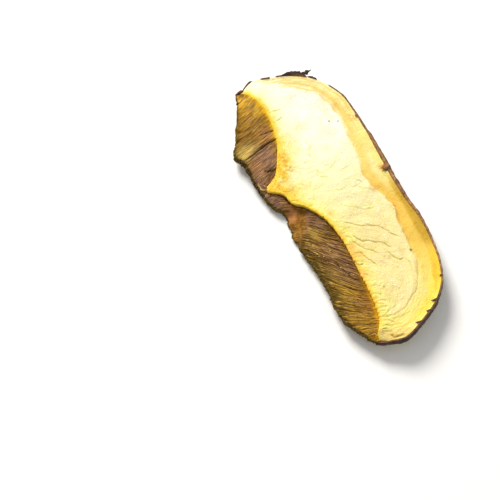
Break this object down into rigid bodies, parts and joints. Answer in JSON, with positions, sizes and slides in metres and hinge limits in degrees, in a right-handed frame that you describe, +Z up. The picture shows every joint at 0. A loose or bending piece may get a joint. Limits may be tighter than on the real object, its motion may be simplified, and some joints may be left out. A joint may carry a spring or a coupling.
{
  "type": "dried butter bolete slice",
  "caption": "Long flat slice of a dried mushroom cap: pale wrinkled flesh, golden band under a dark curved skin, and a ridged brown tube layer along the straight side. Lies on its back face.",
  "frame": {"origin": "under the middle of the slice's outline, on the plane that its back face rests on", "axes": "+X along the cap's chord, from the pointed tip to the broad end, +Y towards the cap's skin, +Z up out of the cut face"},
  "size_m": [0.0942, 0.0394, 0.0075],
  "materials": {
    "flesh": "dry, matte, wrinkled, pale yellow",
    "cap_skin": "dry, papery, dark purple-brown",
    "tube_layer": "dry, matte, ridged, golden brown",
    "pore_surface": "dry, matte, pitted, olive brown"
  },
  "bodies": {
    "root": {"bolete_slice": "flesh"}
  },
  "joints": []
}
